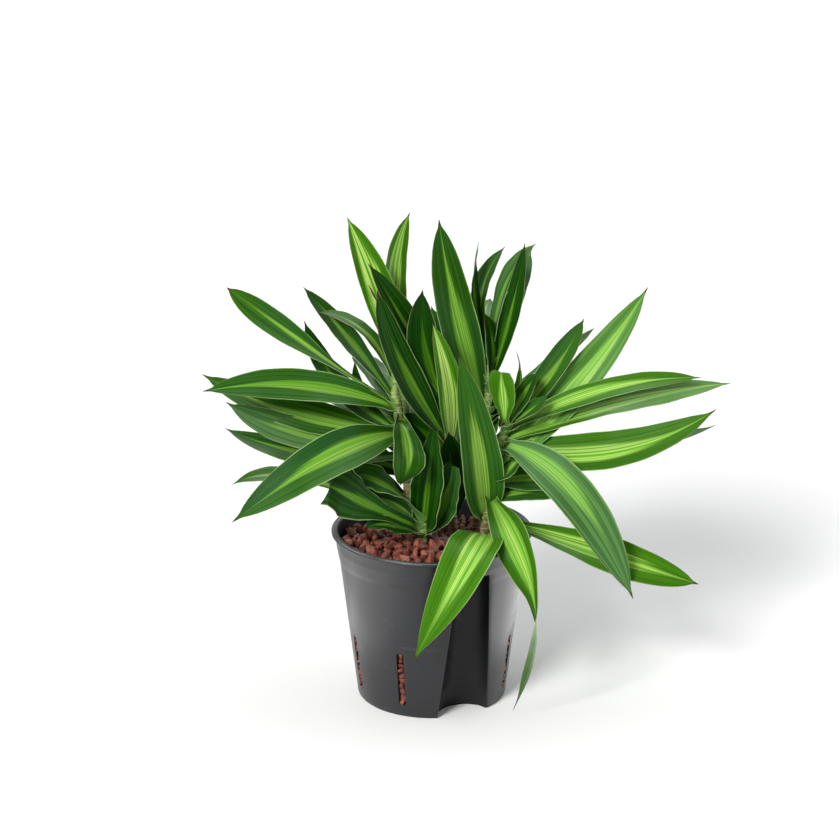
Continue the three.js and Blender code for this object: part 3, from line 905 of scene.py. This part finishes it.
def blade(form, root, leaf, wave, fold, index, rng, **looks):
    """A thin leaf whose foot wraps its cane and whose margins ripple, and whose looks are one value each"""
    sheath = SHEATH_LENGTH / math.hypot(leaf.reach, leaf.rise)
    stations = [np.linspace(0, sheath, 6)[:-1], np.linspace(sheath, 0.93, 24), np.linspace(0.945, 1, 6)]
    t = np.concatenate(stations)
    u = np.array([*(-share for share in BLADE_COLUMNS[::-1]), 0, *BLADE_COLUMNS])
    rows, columns = len(t), len(u)
    frames = rib_frames(root, leaf, t)
    if fold:
        frames = fold_back(frames, t, *fold)
    place, _, across, above = frames
    open_up = smooth_step(t / sheath)
    stretched = t ** (math.log(BELLY) / math.log(leaf.belly))
    outline = curve_through(BLADE_OUTLINE, stretched) * leaf.width / 2
    wrap = SHEATH_WRAP * (1 - open_up)
    half = lerp(CANE_FOOT_RADIUS * SHEATH_WRAP, outline, open_up)
    place = place - above * (CANE_FOOT_RADIUS * (1 - open_up))[:, None]
    bend = wrap[:, None] * u

    # The upper face's section at each station, and the unit slope that its thickness is measured across
    phase = 2 * math.pi * WAVE_COUNT * t[:, None] + index * WAVE_SHIFT + np.where(u < 0, 0, 2)
    ripple = wave * 2 * outline[:, None] * (np.sin(phase) + 0.3 * np.sin(3.7 * phase)) * u * u
    sideways = half[:, None] * u * np.sinc(bend / math.pi)
    channel = CHANNEL * (1 - 0.6 * t[:, None]) * outline[:, None] * np.abs(u) ** 1.3
    upward = half[:, None] * np.abs(u) * np.abs(np.sin(bend / 2)) * np.sinc(bend / 2 / math.pi)
    upward = upward + channel * open_up[:, None] + ripple
    slope = np.gradient(upward, u, axis=1)
    run = np.gradient(sideways, u, axis=1)
    steep = np.hypot(slope, run) + 1e-9
    thick = BLADE_THICKNESS + RIB_THICKNESS * np.exp(-((u / 0.1) ** 2)) * (1 - 0.8 * t[:, None])
    thick = thick * np.minimum(1, 0.25 + 5 * (1 - t[:, None]))
    skins = []
    for depth in (0, 1):
        x = sideways + depth * thick * slope / steep
        y = upward - depth * thick * run / steep
        skins.append(place[:, None] + across[:, None] * x[..., None] + above[:, None] * y[..., None])
    form.add(
        np.concatenate([skin.reshape(-1, 3) for skin in skins]), skin_faces(rows, columns),
        across=np.tile(u, 2 * rows), along=np.tile(np.repeat(t, columns), 2), seed=rng.random(),
        upper=np.repeat([1, 0], rows * columns), **looks,
    )


def leafy_stem(name, stem, leaf_finish, cane_finish):
    """A cutting's cane and leaves, which together stand for its solid"""
    rng = random.Random(name)
    foot = np.array([*stem["foot"], 0])
    wave = stem.get("wave", WAVE_HEIGHT)
    wood = Form()
    cane(wood, stem["foot"], stem["bends"], rng)
    make_piece(name + "_cane", wood, cane_finish, name)
    leaves = Form()
    for index, row in enumerate(stem["leaves"]):
        leaf = Leaf(*row)
        root = foot + stem_middle(stem["bends"], np.array(leaf.root_height))
        fresh = FRESHNESS[name].get(index, USUAL_FRESHNESS) + rng.uniform(-0.05, 0.05)
        fold = FOLDS.get(name, {}).get(index)
        bloom = SHEEN_PAINT.get(name, {}).get(index, 0)
        blade(leaves, root, leaf, wave, fold, index, rng, fresh=min(1, max(0, fresh)), bloom=bloom)
    make_piece(name + "_leaves", leaves, leaf_finish, name, sharp=60)


# The object

tidy_pot(make_piece("pot_shell", culture_pot(), pot_material(), "culture_pot"))
make_piece("granule_bed", granules(), clay_material(), "granules", sharp=70)
leaf_finish = leaf_material()
cane_finish = cane_material()
for name, stem in STEMS.items():
    leafy_stem(name, stem, leaf_finish, cane_finish)


# The studio

def floor():
    mesh = bpy.data.meshes.new("studio_floor")
    reach = 40
    corners = [(-reach, -reach, 0), (reach, -reach, 0), (reach, reach, 0), (-reach, reach, 0)]
    mesh.from_pydata(corners, [], [(0, 1, 2, 3)])
    mesh.materials.append(floor_material())
    made = add_object("studio_floor", mesh)


def lamp(name, kind, direction, energy):
    """A new light that shines along a direction, and its object"""
    light = bpy.data.lights.new(name, kind)
    light.energy = energy
    made = add_object(name, light)
    made.rotation_euler = Vector(direction).to_track_quat("-Z", "Y").to_euler()
    return light, made


def sun(direction, strength, spread):
    """Soft daylight, as wide as its spread in degrees"""
    light, _ = lamp("key", "SUN", direction, strength)
    light.angle = math.radians(spread)
    light.color = SUN_WHITE


def glint(place, target, size, power):
    """A square lamp that shows in glossy surfaces alone"""
    light, made = lamp("glint", "AREA", Vector(target) - Vector(place), power)
    light.size = size
    made.location = place
    made.visible_diffuse = False


def surroundings():
    """A white studio that is brightest at the plant's sides and dim in front of it"""
    world = bpy.data.worlds.new("studio")
    world.use_nodes = True
    nodes = Nodes(world.node_tree)
    ways = nodes.node("SeparateXYZ", {0: nodes.node("TexCoord").outputs["Generated"]}).outputs
    total = 0.0
    for way, start, end, strength in (
        (nodes.math("ABSOLUTE", ways["X"]), 0.5, 1.0, 0.92),
        (ways["Y"], -0.45, 0.6, 0.44),
        (ways["Z"], 0.4, 1.0, 0.44),
    ):
        total = nodes.math("ADD", total, nodes.fade(way, start, end, 0.03, strength))
    background = nodes.tree.nodes["Background"]
    nodes.feed(background.inputs["Color"], SKY_WHITE)
    nodes.feed(background.inputs["Strength"], total)
    bpy.context.scene.world = world


def camera():
    """A long lens in front of the plant that looks down on it"""
    lens = bpy.data.cameras.new("camera")
    lens.lens = CAMERA_LENS
    lens.sensor_width = 36
    lens.clip_end = 100
    made = add_object("camera", lens)
    made.location = CAMERA_PLACE
    made.rotation_euler = (math.radians(90 - CAMERA_DIP), 0, 0)
    bpy.context.scene.camera = made


floor()
camera()
surroundings()
sun(direction=(250, 400, -300), strength=3.2, spread=20)

# One glossy light from the right, two that face up from the floor at the pot's sides and one from behind
glint((1.0, 0.25, 0.14), target=(0.05, -0.05, 0.1), size=0.9, power=20)
for x, y, power in ((0.42, 0.1, 1.5), (-0.42, -0.1, 0.9)):
    glint((x, y, 0.002), target=(x, y, 1), size=0.5, power=power)
glint((0, 0.8, 1.9), target=(0, 0, 0.3), size=2.2, power=150)
bpy.context.scene.view_settings.view_transform = "Standard"
